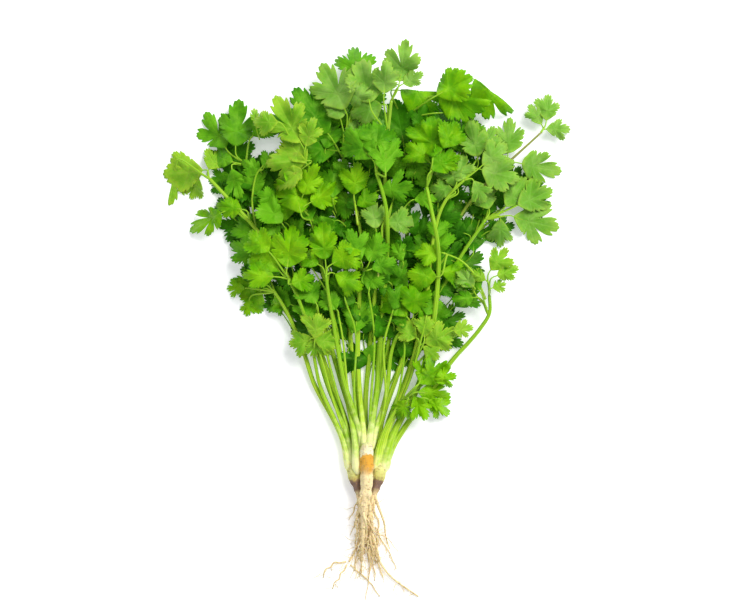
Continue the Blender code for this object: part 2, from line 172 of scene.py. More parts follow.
def flowing(points, step):
    """Points a step apart on the smooth curve through the given ones.

    Between two points the curve is the cubic whose slope at each is half the way between its neighbours.
    """
    points = np.array(points, float)
    ends = np.vstack([2 * points[0] - points[1], points, 2 * points[-1] - points[-2]])
    t = np.linspace(0, 1, 40, endpoint=False)[None, :, None]
    p0, p1, p2, p3 = (ends[k : len(ends) - 3 + k][:, None] for k in range(4))
    bend = (2 * p0 - 5 * p1 + 4 * p2 - p3) * t**2 + (3 * p1 - p0 - 3 * p2 + p3) * t**3
    dense = (p1 + 0.5 * ((p2 - p0) * t + bend)).reshape(-1, points.shape[1])
    dense = np.vstack([dense, points[-1:]])
    along = np.concatenate([[0], np.cumsum(np.linalg.norm(np.diff(dense, axis=0), axis=1))])
    places = np.linspace(0, along[-1], max(4, round(along[-1] / step) + 1))
    return np.stack([np.interp(places, along, column) for column in dense.T], axis=1)


def corners_of(name):
    """The corners of a CAD node, each once, in mm."""
    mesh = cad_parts[name].data
    places = np.empty(len(mesh.vertices) * 3)
    mesh.vertices.foreach_get("co", places)
    return np.unique(np.round(places.reshape(-1, 3) / MM, 3), axis=0)


def middle_line(name, route, step):
    """The line up the middle of a CAD rod.

    Each of its rings has eight corners, so a ring's centre is the mean of the eight corners nearest
    in plan to that point of the route.
    """
    corners = corners_of(name)
    plan = flowing(route, step) + SHIFT
    away = np.linalg.norm(plan[:, None] - corners[None, :, :2], axis=2)
    nearest = np.argsort(away, axis=1)[:, :8]
    return corners[nearest].mean(axis=1)


def gathered(line):
    """The line drawn in towards the middle round the crowns, where soft stalks and roots press together."""
    below = -line[:, 1]
    grip = smooth(below, 30, 72) * (1 - smooth(below, 112, 134))
    return line * np.stack([1 - GRIP * grip, np.ones(len(line)), np.ones(len(line))], axis=1)


def tube(path, radius, sides, finish=0, ribs=0, rib_depth=0.0, **values):
    """A closed tube round a path, as a profile carried along it.

    Ring k, corner j is path[k] + radius[k] * (cos a * side + sin a * top), where a = 2 pi j / sides,
    side is level and square to the path, and top is square to both. With ribs the radius is
    multiplied by 1 + depth * cos(ribs * a). Each end closes on a point.
    """
    path, radius = np.asarray(path, float), np.broadcast_to(radius, len(path))
    forward = np.gradient(path, axis=0)
    forward /= np.linalg.norm(forward, axis=1)[:, None]
    side = np.cross(forward, (0, 0, 1.0))
    side /= np.linalg.norm(side, axis=1)[:, None]
    top = np.cross(side, forward)
    angle = np.arange(sides) * 2 * np.pi / sides
    girth = radius[:, None] * (1 + rib_depth * np.cos(ribs * angle))[None]
    rings = path[:, None] + girth[..., None] * (
        np.cos(angle)[None, :, None] * side[:, None] + np.sin(angle)[None, :, None] * top[:, None]
    )
    number = np.arange(len(path) * sides).reshape(len(path), sides)
    here, there = number[:-1], number[1:]
    quads = np.stack([here, there, np.roll(there, -1, 1), np.roll(here, -1, 1)], -1).reshape(-1, 4)
    first, last = number.size, number.size + 1
    foot = np.stack([np.full(sides, first), number[0], np.roll(number[0], -1)], -1)
    tip = np.stack([np.full(sides, last), np.roll(number[-1], -1), number[-1]], -1)
    points = np.vstack([
        rings.reshape(-1, 3),
        path[:1] - forward[:1] * radius[0] * 0.5,
        path[-1:] + forward[-1:] * radius[-1] * 0.5,
    ])
    share = np.linspace(0, 1, len(path))
    fields = {}
    for key, value in {"along": share, "rib": np.zeros(len(path)), **values}.items():
        value = np.broadcast_to(value, len(path))
        fields[key] = np.append(np.repeat(value, sides), [value[0], value[-1]])
    fields["rib"][: number.size] = np.tile(np.cos(ribs * angle), len(path))
    faces = quads.tolist() + foot.tolist() + tip.tolist()
    return points, faces, [finish] * len(faces), fields


def piece(name, shapes, finishes, slot, *nodes):
    """One object from several closed shapes, riding on the bunch in place of its CAD nodes."""
    points, faces, finish, start = [], [], [], 0
    for corners, sides, numbers, _ in shapes:
        points.append(corners)
        faces += [[start + k for k in face] for face in sides]
        finish += numbers
        start += len(corners)
    mesh = bpy.data.meshes.new(name)
    points = np.vstack(points)
    points[:, 2] = np.maximum(points[:, 2], 0.03)  # what touches the table lies flat on it
    mesh.from_pydata(points * MM, [], faces)
    for key in sorted({key for shape in shapes for key in shape[3]}):
        values = [shape[3].get(key, np.zeros(len(shape[0]))) for shape in shapes]
        mesh.attributes.new(key, "FLOAT", "POINT").data.foreach_set("value", np.concatenate(values))
    for finish_material in finishes:
        mesh.materials.append(finish_material)
    mesh.polygons.foreach_set("material_index", finish)
    mesh.shade_smooth()
    made = bpy.data.objects.new(name, mesh)
    bpy.context.scene.collection.objects.link(made)
    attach(made, "root")
    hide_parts(*nodes)


class Recipe:
    """The nodes of one material, joined up in a few words each."""

    def __init__(self, name):
        self.material = bpy.data.materials.new(name)
        self.material.use_nodes = True
        self.nodes, self.links = self.material.node_tree.nodes, self.material.node_tree.links
        self.shader = self.nodes["Principled BSDF"]
        self.place = self.nodes.new("ShaderNodeTexCoord").outputs["Object"]

    def put(self, socket, value):
        """Joins a socket to another one, or sets it to a plain value."""
        if isinstance(value, bpy.types.NodeSocket):
            self.links.new(value, socket)
        else:
            socket.default_value = value

    def value(self, name):
        """A value stored on the piece's own corners."""
        node = self.nodes.new("ShaderNodeAttribute")
        node.attribute_name = name
        return node.outputs["Fac"]

    def noise(self, size, detail=2.0, stretch=(1, 1, 1)):
        """Soft noise from 0 to 1 with spots of that size in mm, longer where stretch is under 1."""
        turned = self.nodes.new("ShaderNodeMapping")
        self.put(turned.inputs["Vector"], self.place)
        turned.inputs["Scale"].default_value = stretch
        node = self.nodes.new("ShaderNodeTexNoise")
        node.inputs["Scale"].default_value = 1 / (size * MM)
        node.inputs["Detail"].default_value = detail
        self.put(node.inputs["Vector"], turned.outputs["Vector"])
        return node.outputs["Fac"]

    def ramp(self, value, low, high, out_low=0.0, out_high=1.0):
        """The value's span from low to high, spread smoothly over the span from out_low to out_high."""
        node = self.nodes.new("ShaderNodeMapRange")
        node.interpolation_type = "SMOOTHSTEP"
        for key, number in zip(("From Min", "From Max", "To Min", "To Max"), (low, high, out_low, out_high)):
            node.inputs[key].default_value = number
        self.put(node.inputs["Value"], value)
        return node.outputs["Result"]

    def sum(self, a, b, how="ADD"):
        """a + b, or a * b and the like where how says so."""
        node = self.nodes.new("ShaderNodeMath")
        node.operation = how
        self.put(node.inputs[0], a)
        self.put(node.inputs[1], b)
        return node.outputs["Value"]

    def blend(self, share, a, b):
        """Colour a where the share is 0, and b where it is 1."""
        node = self.nodes.new("ShaderNodeMix")
        node.data_type = "RGBA"
        self.put(node.inputs["Factor"], share)
        for socket, colour in ((node.inputs[6], a), (node.inputs[7], b)):
            self.put(socket, (*colour, 1) if isinstance(colour, tuple) else colour)
        return node.outputs[2]

    def bands(self, value, *stops):
        """A colour for each place along a value, blended between the (place, colour) stops."""
        node = self.nodes.new("ShaderNodeValToRGB")
        ramp = node.color_ramp
        while len(ramp.elements) < len(stops):
            ramp.elements.new(0.5)
        for element, (place, colour) in zip(ramp.elements, stops):
            element.position, element.color = place, (*colour, 1)
        self.put(node.inputs["Fac"], value)
        return node.outputs["Color"]

    def bump(self, height, depth):
        """Relief of that depth in mm from a height of 0 to 1."""
        node = self.nodes.new("ShaderNodeBump")
        node.inputs["Strength"].default_value = 1.0
        node.inputs["Distance"].default_value = depth * MM
        self.put(node.inputs["Height"], height)
        self.put(self.shader.inputs["Normal"], node.outputs["Normal"])

    def flesh(self, colour, rough, soak, reach, gloss=(0.85, 1.0, 0.25)):
        """Living tissue: a share of the light soaks in and comes out again up to the reach away, in mm."""
        inputs = self.shader.inputs
        self.put(inputs["Base Color"], colour)
        self.put(inputs["Roughness"], rough)
        inputs["Subsurface Weight"].default_value = soak
        inputs["Subsurface Radius"].default_value = (0.45, 1.0, 0.12)
        inputs["Subsurface Scale"].default_value = reach * MM
        inputs["Specular IOR Level"].default_value = 0.3
        inputs["Specular Tint"].default_value = (*gloss, 1)
        return self.material


def stalk_skin(name):
    """White-green foot, yellow-green length with paler ribs, darker green down the grooves between them as
    painted shade, red-brown blush where a stalk has one.
    """
    skin = Recipe(name)
    along = skin.value("along")
    wander = skin.sum(along, skin.ramp(skin.noise(9), 0.2, 0.8, -0.03, 0.03))
    length = skin.bands(
        wander, (0.0, (0.52, 0.7, 0.045)), (0.35, (0.38, 0.61, 0.022)), (1.0, (0.2, 0.44, 0.012))
    )
    ribbed = skin.blend(skin.ramp(skin.value("rib"), -1.0, 1.0, 0.0, 0.4), length, (0.66, 0.84, 0.1))
    # Darker green down the grooves between the ribs: painted shade.
    groove_painted_shade = skin.blend(skin.ramp(skin.value("rib"), -1.0, -0.1, 0.55, 0.0), ribbed, (0.09, 0.3, 0.006))
    toned = skin.blend(skin.ramp(skin.value("tint"), 1.0, -1.0, 0.0, 0.5), groove_painted_shade, (0.16, 0.42, 0.01))
    blushed = skin.blend(skin.ramp(skin.value("blush"), 0.0, 1.0, 0.0, 0.8), toned, (0.27, 0.16, 0.1))
    freckled = skin.blend(skin.ramp(skin.noise(2.2, 4), 0.56, 0.75, 0.0, 0.35), blushed, (0.15, 0.38, 0.02))
    white = skin.sum(skin.value("foot"), skin.ramp(skin.noise(3), 0.3, 0.7, -0.12, 0.12))
    freckled = skin.blend(skin.ramp(white, 0.1, 0.85), freckled, (0.88, 0.88, 0.44))
    skin.bump(skin.noise(0.9, 3), 0.08)
    return skin.flesh(freckled, skin.ramp(skin.noise(5), 0.3, 0.7, 0.3, 0.46), 0.25, 1.2)


# How far the upper part of a stalk lies above its CAD line, over the leaves beside it, mm.
RAISED = {"stalk_left_1": 7.0, "stalk_right_1": 3.0, "stalk_right_3": 6.0, "stalk_right_2": 2.0}
stalk_green = stalk_skin("stalk_green")
stalk_lines = []
for order, (name, (foot, tip, blush, route)) in enumerate(STALKS.items()):
    line = gathered(flowing(middle_line(name, route, STALK_STEP), 1.6))
    line[:, 2] += RAISED.get(name, 0) * smooth(np.linspace(0, 1, len(line)), 0.45, 0.75)
    stalk_lines.append(line)
    inward = (line[0] - line[3]) / np.linalg.norm(line[0] - line[3])
    line = np.vstack([line[0] + inward * np.array([[1.0], [0.75], [0.5], [0.25]]) * SHEATH, line])
    share = np.linspace(0, 1, len(line))
    rise = np.concatenate([[0], np.cumsum(np.linalg.norm(np.diff(line, axis=0), axis=1))])
    swelling = 0.4 if name.startswith("stalk_front") else 1.1
    radius = 1.2 * foot + (tip - 1.2 * foot) * share + swelling * np.exp(-((rise - 4) / 9) ** 2)
    radius *= (1 + 0.04 * np.sin(share * 23 + foot * 9) * share) * np.clip(0.45 + rise / 6, 0, 1)
    red = blush * np.clip((share - 0.55) / 0.3, 0, 1)
    pale = 9 if "right" in name else 17  # how fast its white foot turns green, mm
    tone = {"blush": red, "tint": np.sin(order * 2.4), "foot": np.exp(-rise / pale)}
    shape = tube(line, radius, STALK_SIDES, 0, STALK_RIBS, RIB_DEPTH, **tone)
    piece(name, [shape], [stalk_green], "stalk", name)

# ---- Taproots ----
# Each plant ends in one tapering taproot. Its top is a swollen crown, where the stalks sit; below
# it the skin is tan and cracked across, and fine hair roots hang from the lower half.

ROOT_STEP = 7.0
ROOT_SIDES = 28
STRANDS = 8  # thick side roots where a taproot splits
HAIRS = 26  # fine hair roots on each taproot
FARTHEST = 151.0  # hair roots are cut short to end about this far below the middle, mm

# Name: radius at the crown, below it and at the tip, share of its length where it splits, plan
# route from crown to tip, mm.
TAPROOTS = {
    "root_back": (3.0, 1.7, 0.4, 0.45, [(0, -76), (0, -90), (-1, -106), (3, -122), (12, -138), (28, -150)]),
    "root_left": (4.3, 1.9, 0.5, 0.42, [
        (-10, -77.3), (-8, -87), (-5, -97), (-5, -110), (-6, -121), (-10, -131)]),
    "root_right": (4.3, 1.9, 0.5, 0.42, [(10, -77.3), (8, -88), (4, -98), (3, -110), (6, -121), (7, -130)]),
    "root_front": (3.9, 3.4, 0.4, 0.44, [(0, -66.3), (0, -76), (0, -88), (-2, -102), (-3, -118), (-3, -137)]),
}


def root_skin(name, *stops):
    """Dull skin in bands from the crown down, with brown cracks across it and darker soil stains."""
    skin = Recipe(name)
    wander = skin.sum(skin.value("along"), skin.ramp(skin.noise(4), 0.25, 0.75, -0.025, 0.025))
    length = skin.bands(wander, *stops)
    cracks = skin.ramp(skin.noise(1.3, 4, (0.6, 2.2, 1.0)), 0.57, 0.72)
    cracked = skin.blend(skin.sum(cracks, 0.65, "MULTIPLY"), length, (0.33, 0.17, 0.05))
    stained = skin.blend(skin.ramp(skin.noise(7, 3), 0.5, 0.75, 0.0, 0.45), cracked, (0.56, 0.35, 0.13))
    fibres = skin.noise(0.8, 3, (1.8, 0.25, 1.8))
    streaked = skin.blend(skin.ramp(fibres, 0.52, 0.7, 0.0, 0.5), stained, (0.5, 0.29, 0.1))
    skin.bump(skin.sum(skin.sum(cracks, -0.8, "MULTIPLY"), fibres), 0.4)
    return skin.flesh(streaked, skin.ramp(fibres, 0.3, 0.7, 0.6, 0.85), 0.12, 0.8, (1.0, 0.95, 0.8))


TAN, CREAM, ORANGE = (0.9, 0.74, 0.42), (0.92, 0.88, 0.58), (0.76, 0.38, 0.04)
# Purple-brown upper skin of the rear taproots, darkened further with painted shade where they lie under the
# front taproot.
DARK_SKIN_AND_SHADE = (0.22, 0.14, 0.11)
front_skin = root_skin(
    "taproot_front_skin",
    (0.0, (0.78, 0.8, 0.36)), (0.03, CREAM), (0.07, CREAM), (0.085, ORANGE), (0.17, ORANGE),
    (0.25, (0.92, 0.76, 0.42)), (0.6, TAN), (1.0, (0.82, 0.64, 0.32)),
)
# Its dark band below the crowns is purple-brown skin plus painted shade from the front taproot lying over it.
rear_skin = root_skin(
    "taproot_rear_skin",
    (0.0, (0.78, 0.8, 0.36)), (0.1, (0.7, 0.7, 0.22)), (0.145, (0.62, 0.58, 0.16)), (0.17, DARK_SKIN_AND_SHADE),
    (0.26, DARK_SKIN_AND_SHADE), (0.33, TAN), (0.75, TAN), (1.0, (0.82, 0.64, 0.32)),
)
hair_draw = np.random.default_rng(11)


def hair(start, heading, length, radius, rest, wander=1.0):
    """A hair root: its heading turns by a smooth random amount, and it sinks to its rest height.

    Its plan is the running sum of equal steps along that heading.
    """
    length = min(length, (start[1] + FARTHEST) / 0.9)
    steps = max(8, round(length / 1.3))
    share = np.linspace(0, 1, steps)
    bends = hair_draw.normal(0, (0.5, 0.4, 0.35), 3) * wander
    turn = heading + bends[0] * np.sin(2.2 * share) + bends[1] * np.sin(7 * share)
    turn = turn + bends[2] * np.sin(17 * share)
    plan = np.cumsum(np.stack([np.cos(turn), np.sin(turn)], 1), axis=0) * length / steps
    height = start[2] + (rest - start[2]) * smooth(share, 0.1, 0.9) + 0.3 * np.sin(share * 17)
    path = np.column_stack([plan + start[:2], np.maximum(height, radius * 1.3)])
    return tube(path, radius * (1 - 0.75 * share), 6, along=0.5 + 0.5 * share)


for name, (crown, foot, tip, split, route) in TAPROOTS.items():
    line = gathered(flowing(middle_line(name, route, ROOT_STEP), 0.8))
    share = np.linspace(0, 1, len(line))
    radius = np.interp(
        share, [0, 0.02, 0.12, 0.26, split, split + 0.14, 1],
        [0.55 * crown, 0.92 * crown, crown, foot, 0.85 * foot, 0.4 * foot, tip],
    )
    radius = np.convolve(np.pad(radius, 3, mode="edge"), np.ones(7) / 7, "valid")
    knots = 0.05 * np.sin(share * 61 + crown) + 0.05 * np.sin(share * 97 + foot)
    radius = radius * (1 + knots * np.clip(share * 4, 0, 1))
    shapes = [tube(line, radius, ROOT_SIDES, 0, 5, 0.035)]
    for spot in hair_draw.uniform(split - 0.12, split + 0.1, STRANDS):
        place = int(spot * (len(line) - 1))
        across = hair_draw.uniform(-0.8, 0.8)
        start = line[place] + radius[place] * np.array([across, 0, 0.75 * np.sqrt(1 - across**2)])
        heading = np.radians(-90 + 9 * across + hair_draw.normal(0, 7))
        length, thick = hair_draw.uniform(18, 40), hair_draw.uniform(0.45, 0.95)
        shapes.append(hair(start, heading, length, thick, 0.9, 0.6))
    for spot in hair_draw.uniform(0.4, 0.98, HAIRS):
        start = line[int(spot * (len(line) - 1))]
        heading = np.radians(-90 + hair_draw.normal(0, 34))
        shapes.append(hair(start, heading, hair_draw.uniform(7, 22), hair_draw.uniform(0.1, 0.24), 0.5, 1.5))
    skin = front_skin if name == "root_front" else rear_skin
    piece(name, shapes, [skin], "taproot", name)

# ---- Rootlets ----
# Four side roots, threads as thick as string, straggle over the table from low on the taproots.

# Name: radius at each end, plan route, mm.
ROOTLETS = {
    "rootlet_1": (0.6, 0.25, [(-11.6, -131.2), (-18, -132), (-22, -135), (-24, -140)]),
    "rootlet_2": (0.5, 0.25, [(-9, -132.8), (-3, -138), (2, -143), (7, -150)]),
    "rootlet_3": (0.4, 0.2, [(6.4, -112), (11, -120), (14, -128), (16, -135)]),
    "rootlet_4": (0.5, 0.25, [(-11, -133), (-14, -138), (-17, -142), (-19, -146)]),
}
thread_skin = root_skin("rootlet_skin", (0.0, TAN), (0.5, (0.84, 0.68, 0.38)), (1.0, (0.74, 0.6, 0.3)))
for name, (thick, thin, route) in ROOTLETS.items():
    line = gathered(flowing(middle_line(name, route, ROOT_STEP), 0.7))
    share = np.linspace(0, 1, len(line))
    wriggle = np.stack([np.sin(share * 13 + thick), np.cos(share * 17), 0.2 * np.sin(share * 19)], 1)
    line += 0.5 * wriggle * np.minimum(1, 4 * share * (1 - share))[:, None]
    shapes = [tube(line, thick + (thin - thick) * share, 10, ribs=3, rib_depth=0.05)]
    for spot in (0.1, 0.3, 0.5, 0.65, 0.8, 0.95):
        start = line[int(spot * (len(line) - 1))]
        heading = np.radians(-100 + hair_draw.normal(0, 45))
        shapes.append(hair(start, heading, hair_draw.uniform(6, 14), 0.15, 0.4, 1.5))
    piece(name, shapes, [thread_skin], "rootlet", name)

# ---- Leaves ----
# The stalks carry the leaves, most of them at their ends, and each leaf is two or more leaflets on
# short thin stems. A leaflet is a soft thin blade, wedge-shaped at its stem, cut into three lobes
# with round-pointed teeth, veined from its base.

LOBE = np.radians(55.0)  # from the middle of one lobe to that of the next, seen from the hub
LOBES = np.array([-1.82, -1.0, 0.0, 1.0, 1.82]) * LOBE
WEDGE_SPOKES = 14  # corners along the plain edges of the wedge
RINGS = np.array([0.15, 0.31, 0.47, 0.62, 0.76, 0.89, 1.0])  # shares of the way from hub to edge
LEAF_THICKNESS = 0.26  # mm
HUB_SHARE = 0.38  # the veins part at this share of the length
FOLD_LAP = 1.1  # how far a folded leaflet reaches past its midrib, mm
leaf_draw = np.random.default_rng(5)


def spokes_of(teeth, per_tooth, spread):
    """Directions round a leaflet's hub: even over the toothed fan, times the spread, then down the wedge."""
    half = int(2.2 * teeth) * per_tooth
    fan = np.arange(-half, half + 1) * LOBE / teeth / per_tooth
    rest = np.linspace(fan[-1] * spread, 2 * np.pi - fan[-1] * spread, WEDGE_SPOKES + 2)[1:-1]
    return np.concatenate([fan, rest]), np.concatenate([fan * spread, rest])


def margin(pattern, turn, length, width, cut, teeth, draw, folded):
    """How far the edge of a leaflet is from its hub in each direction, and how much of that is toothed.

    The reach is the smaller of a fan, longer towards the tip than to the sides, and a straight-sided
    wedge down to the stem; a folded leaflet ends just past its midrib on one side. Two deep notches
    part three lobes, two shallower ones split the outer lobes and small ones each lobe; every notch
    is a rounded V in angle, and no two sides are quite alike. The teeth are |cos| arcs, round at the
    top and sharp between.
    """
    away = np.minimum(turn % (2 * np.pi), -turn % (2 * np.pi))
    hub = HUB_SHARE * length
    ahead, aside = length - hub, 0.59 * width * (1 + 0.16 * draw[0] * np.sin(turn))
    fan = aside + (ahead - aside) * np.cos(np.minimum(away / 1.4, 1) * np.pi / 2) ** 2
    fan = fan * (1 - 0.3 * smooth(away, 1.6, 2.3))
    slope = np.radians(46 + 8 * draw[1] + 22 * abs(folded))
    wedge = hub * np.sin(slope) / np.sin(np.clip(slope + np.pi - away, 0.05, np.pi - 0.05))
    crease = FOLD_LAP / np.maximum(np.sin(turn) * folded, 1e-3)
    reach = (fan**-7.0 + wedge**-7.0 + crease**-7.0) ** (-1 / 7)
    places = np.array([0.5 * teeth, 1.5 * teeth, 1.5, teeth - 1.5, teeth + 1.5, 2 * teeth - 1.5])
    depth = np.array([cut, 0.75 * cut, 0.13, 0.13, 0.13, 0.1])
    wide = np.array([0.085, 0.075, 0.05, 0.05, 0.05, 0.05]) * teeth * (1 + 0.4 * cut)
    places = np.concatenate([places, -places]) + 0.15 * draw[2:14]
    depth = np.minimum(np.tile(depth, 2) * (1.15 + 0.45 * draw[14:26]), 0.82)
    off = pattern[:, None] / LOBE * teeth - places
    slots = (1 - depth * np.exp(-np.abs(off / np.tile(wide, 2)) ** 1.6)).prod(axis=1)
    swell = 1 + 0.04 * np.cos(2 * np.pi * pattern / LOBE) * (away < 1.6)
    arcs = 1 - np.abs(np.cos(np.pi * pattern * teeth / LOBE)) ** 0.55
    toothed = arcs * 0.62 / teeth * (1 - smooth(away, 1.7, 2.0))
    return reach * slots * swell, toothed


def leaflet(
    x, y, heading, length, width, cut, pitch, roll, lift, tint, folded=0, *, bed, ruffle=1.0, per_tooth=6
):
    """One leaflet as a closed thin shell, and the line of its midrib for the stem to run into.

    Its middle surface is a polar grid: ring i, spoke j lies at share[i] * margin(angle[j]) from the
    hub. Its height is the bed's, plus a slope along and across, a fold up from the vein of each
    lobe, a tilt of each lobe, a sag towards the tip, a wavy edge and three ripples, each a sine of
    the place along its own direction. Half the thickness goes to each side.
    """
    length, width = 1.04 * length, 1.06 * width
    draw, notches = leaf_draw.uniform(-1, 1, 14), leaf_draw.uniform(-1, 1, 26)
    ripples = leaf_draw.uniform(0, 1, (3, 4)) * [2 * np.pi, 5.0, 2 * np.pi, 0.06 * ruffle]
    teeth = 3 if length < 10.5 else 5 if length < 22 else 7
    pattern, turn = spokes_of(teeth, per_tooth - teeth // 7, 1.0 + 0.08 * draw[0])
    turn = turn + 0.07 * np.sin(2 * turn + 3 * draw[1]) * (1 + np.cos(turn)) / 2
    reach, toothed = margin(pattern, turn, length, width, cut, teeth, notches, folded)
    angle = np.where(np.abs(pattern) > np.pi, pattern - 2 * np.pi, pattern)
    spokes = len(turn)
    share = RINGS[:, None]
    away = np.vstack([np.full((1, spokes), 1e-3), share * reach * (1 - toothed * share**3)])
    share = np.vstack([[[0.0]], share])
    hub = HUB_SHARE * length
    fold = (0.17 + 0.15 * draw[3]) * ruffle
    sag, cup = 0.26 + 0.26 * draw[4], 0.18 + 0.26 * draw[5]
    tilts = 0.28 * draw[8:13]
    size = 0.5 * (length + width)

    def height(forward, aside, out, angle):
        lobe = LOBES[np.abs(angle[..., None] - LOBES).argmin(-1)]
        pleat = fold * np.sqrt((out * np.sin(angle - lobe)) ** 2 + 0.4) * smooth(out, 0, 0.35 * size)
        near = np.exp(-(((angle[..., None] - LOBES) / 0.42) ** 2))
        tilt = (near * tilts).sum(-1) * out
        wave = 0.06 * ruffle * size * np.sin(2.6 * angle + 3 * draw[6])
        wave = wave + 0.045 * ruffle * size * np.sin(7 * angle + 3 * draw[7])
        for direction, rate, phase, depth in ripples:
            way = forward * np.cos(direction) + aside * np.sin(direction)
            tilt = tilt + depth * size * np.sin((6 + rate) * way / size + phase)
        edge = (out / (0.55 * size)) ** 2
        bend = -sag * length * (forward / length) ** 2 - cup * aside**2 / (0.5 * width + 1)
        slope = np.tan(np.radians(pitch)) * forward + np.tan(np.radians(roll)) * aside
        return pleat + tilt + wave * edge + bend - 0.04 * size * edge**2 + slope + lift

    forward, aside = hub + away * np.cos(turn), away * np.sin(turn)
    up = height(forward, aside, away, angle[None] + 0 * away)
    c, s = np.cos(np.radians(heading)), np.sin(np.radians(heading))
    origin = np.array([x, y]) + SHIFT

    def placed(forward, aside, up):
        gx, gy = origin[0] + c * forward - s * aside, origin[1] + s * forward + c * aside
        gz = bed(gx, gy) + up - 0.4
        return np.stack([gx, gy, 0.4 + 1.2 * np.log1p(np.exp(np.clip(gz / 1.2, -30, 30)))], axis=-1)

    grid = placed(forward, aside, up)
    out_step = np.gradient(grid, axis=0)
    round_step = np.roll(grid, -1, 1) - np.roll(grid, 1, 1)
    normal = np.cross(out_step, round_step)
    normal[0] = normal[1].mean(axis=0)
    normal /= np.linalg.norm(normal, axis=-1)[..., None] + 1e-12
    half = 0.5 * LEAF_THICKNESS * (1 - 0.5 * share**6)[..., None]
    upper, lower = grid + half * normal, grid - half * normal
    lower[..., 2] = np.maximum(lower[..., 2], 0.1)
    points = np.vstack([
        upper[0].mean(axis=0), upper[1:].reshape(-1, 3), lower[0].mean(axis=0), lower[1:].reshape(-1, 3)])
    count = 1 + len(RINGS) * spokes
    number = 1 + np.arange(len(RINGS) * spokes).reshape(len(RINGS), spokes)
    beside = np.roll(number, -1, 1)
    quads = np.stack([number[:-1], number[1:], beside[1:], beside[:-1]], -1).reshape(-1, 4)
    hubs = np.stack([np.zeros(spokes, int), number[0], beside[0]], -1)
    rim = np.stack([number[-1], number[-1] + count, beside[-1] + count, beside[-1]], -1)
    under = (quads[:, ::-1] + count).tolist() + (hubs[:, ::-1] + count).tolist()
    top = quads.tolist() + hubs.tolist() + rim.tolist()
    # Each lobe has a main vein, and every other tooth a side vein that starts part of the way out.
    lobe = LOBES[np.abs(angle[:, None] - LOBES).argmin(-1)]
    main_vein = np.exp(-((away * np.sin(angle - lobe) / 0.34) ** 2)) * (np.abs(angle - lobe) < 1.2)
    side_vein = np.exp(-((away * np.sin(angle * teeth * np.pi / 2 / LOBE) / 1.9) ** 2))
    side_vein = side_vein * smooth(share, 0.3, 0.7)
    stem_vein = np.exp(-((away * np.sin(turn) / 0.45) ** 2)) * (np.cos(turn) < 0)
    vein = np.clip(np.maximum(0.5 * side_vein, np.maximum(main_vein, stem_vein)), 0, 1)
    both = {
        "vein": np.concatenate([[1.0], vein[1:].ravel()]),
        "rim": np.concatenate([[0.0], np.repeat(share[1:, 0], spokes)]),
        "tint": np.full(count, tint),
    }
    run = np.linspace(0.0, HUB_SHARE + 0.28, 8) * length
    rib = placed(run, 0 * run, height(run, 0 * run, np.abs(run - hub), np.where(run < hub, np.pi, 0.0)))
    finish = [0] * len(top) + [1] * len(under)
    return (points, top + under, finish, {key: np.tile(value, 2) for key, value in both.items()}), rib


def stem(start, rib, radius, dive=0.06):
    """A leaflet's stem and midrib: a cubic that leaves the stalk for the base and meets it head on."""
    base = rib[0]
    reach = np.linalg.norm(base - start)
    ahead = (rib[1] - rib[0]) / np.linalg.norm(rib[1] - rib[0])
    first = start + 0.4 * (base - start) - [0, 0, dive * reach]
    second = base - ahead * min(0.45 * reach, 4.0)
    steps = max(6, round(reach / 1.5))
    t = np.linspace(0, 1, steps, endpoint=False)[:, None]
    way = (1 - t) ** 3 * start + 3 * t * (1 - t) ** 2 * first + 3 * t**2 * (1 - t) * second + t**3 * base
    path = np.vstack([way, rib - [0, 0, 0.24]])
    path[:, 2] = np.maximum(path[:, 2], 0.7)
    thick = radius * np.concatenate([np.linspace(1.6, 0.9, steps), np.linspace(0.85, 0.3, len(rib))])
    return tube(path, thick, 8, finish=2, along=1.0, tint=-0.6)


def bed_of(name):
    """The height of a CAD blade as a smooth function of place.

    It is the mean of its corners' heights, each weighted by 1 / (d^2 + 16)^2 for a distance of d mm.
    """
    corners = corners_of(name)

    def height(x, y):
        d2 = (x[..., None] - corners[:, 0]) ** 2 + (y[..., None] - corners[:, 1]) ** 2
        weight = (d2 + 16.0) ** -2
        return (weight * corners[:, 2]).sum(-1) / weight.sum(-1)

    return height


def leaf_skin(name, light, deep, vein, rough, soak, edge=None, vein_share=0.17):
    """Leaf skin: two greens in soft clouds, paler along the veins, finely pebbled, its edge tinted."""
    skin = Recipe(name)
    broad, fine = skin.noise(11, 2), skin.noise(2.6, 3)
    cloud = skin.sum(skin.ramp(broad, 0.3, 0.7), skin.ramp(fine, 0.3, 0.7, -0.25, 0.25))
    shade = skin.sum(skin.sum(skin.value("tint"), 0.5, "MULTIPLY"), cloud)
    green = skin.blend(skin.ramp(shade, -0.35, 1.35), deep, light)
    if edge:
        green = skin.blend(skin.ramp(skin.value("rim"), 0.6, 1.05, 0.0, 0.55), green, edge)
    veined = skin.blend(skin.sum(skin.value("vein"), vein_share, "MULTIPLY"), green, vein)
    pebbles = skin.noise(0.8, 3)
    skin.bump(skin.sum(pebbles, skin.sum(skin.value("vein"), -0.8, "MULTIPLY")), 0.14)
    return skin.flesh(veined, skin.ramp(pebbles, 0.3, 0.7, rough - 0.06, rough + 0.1), soak, 0.7)


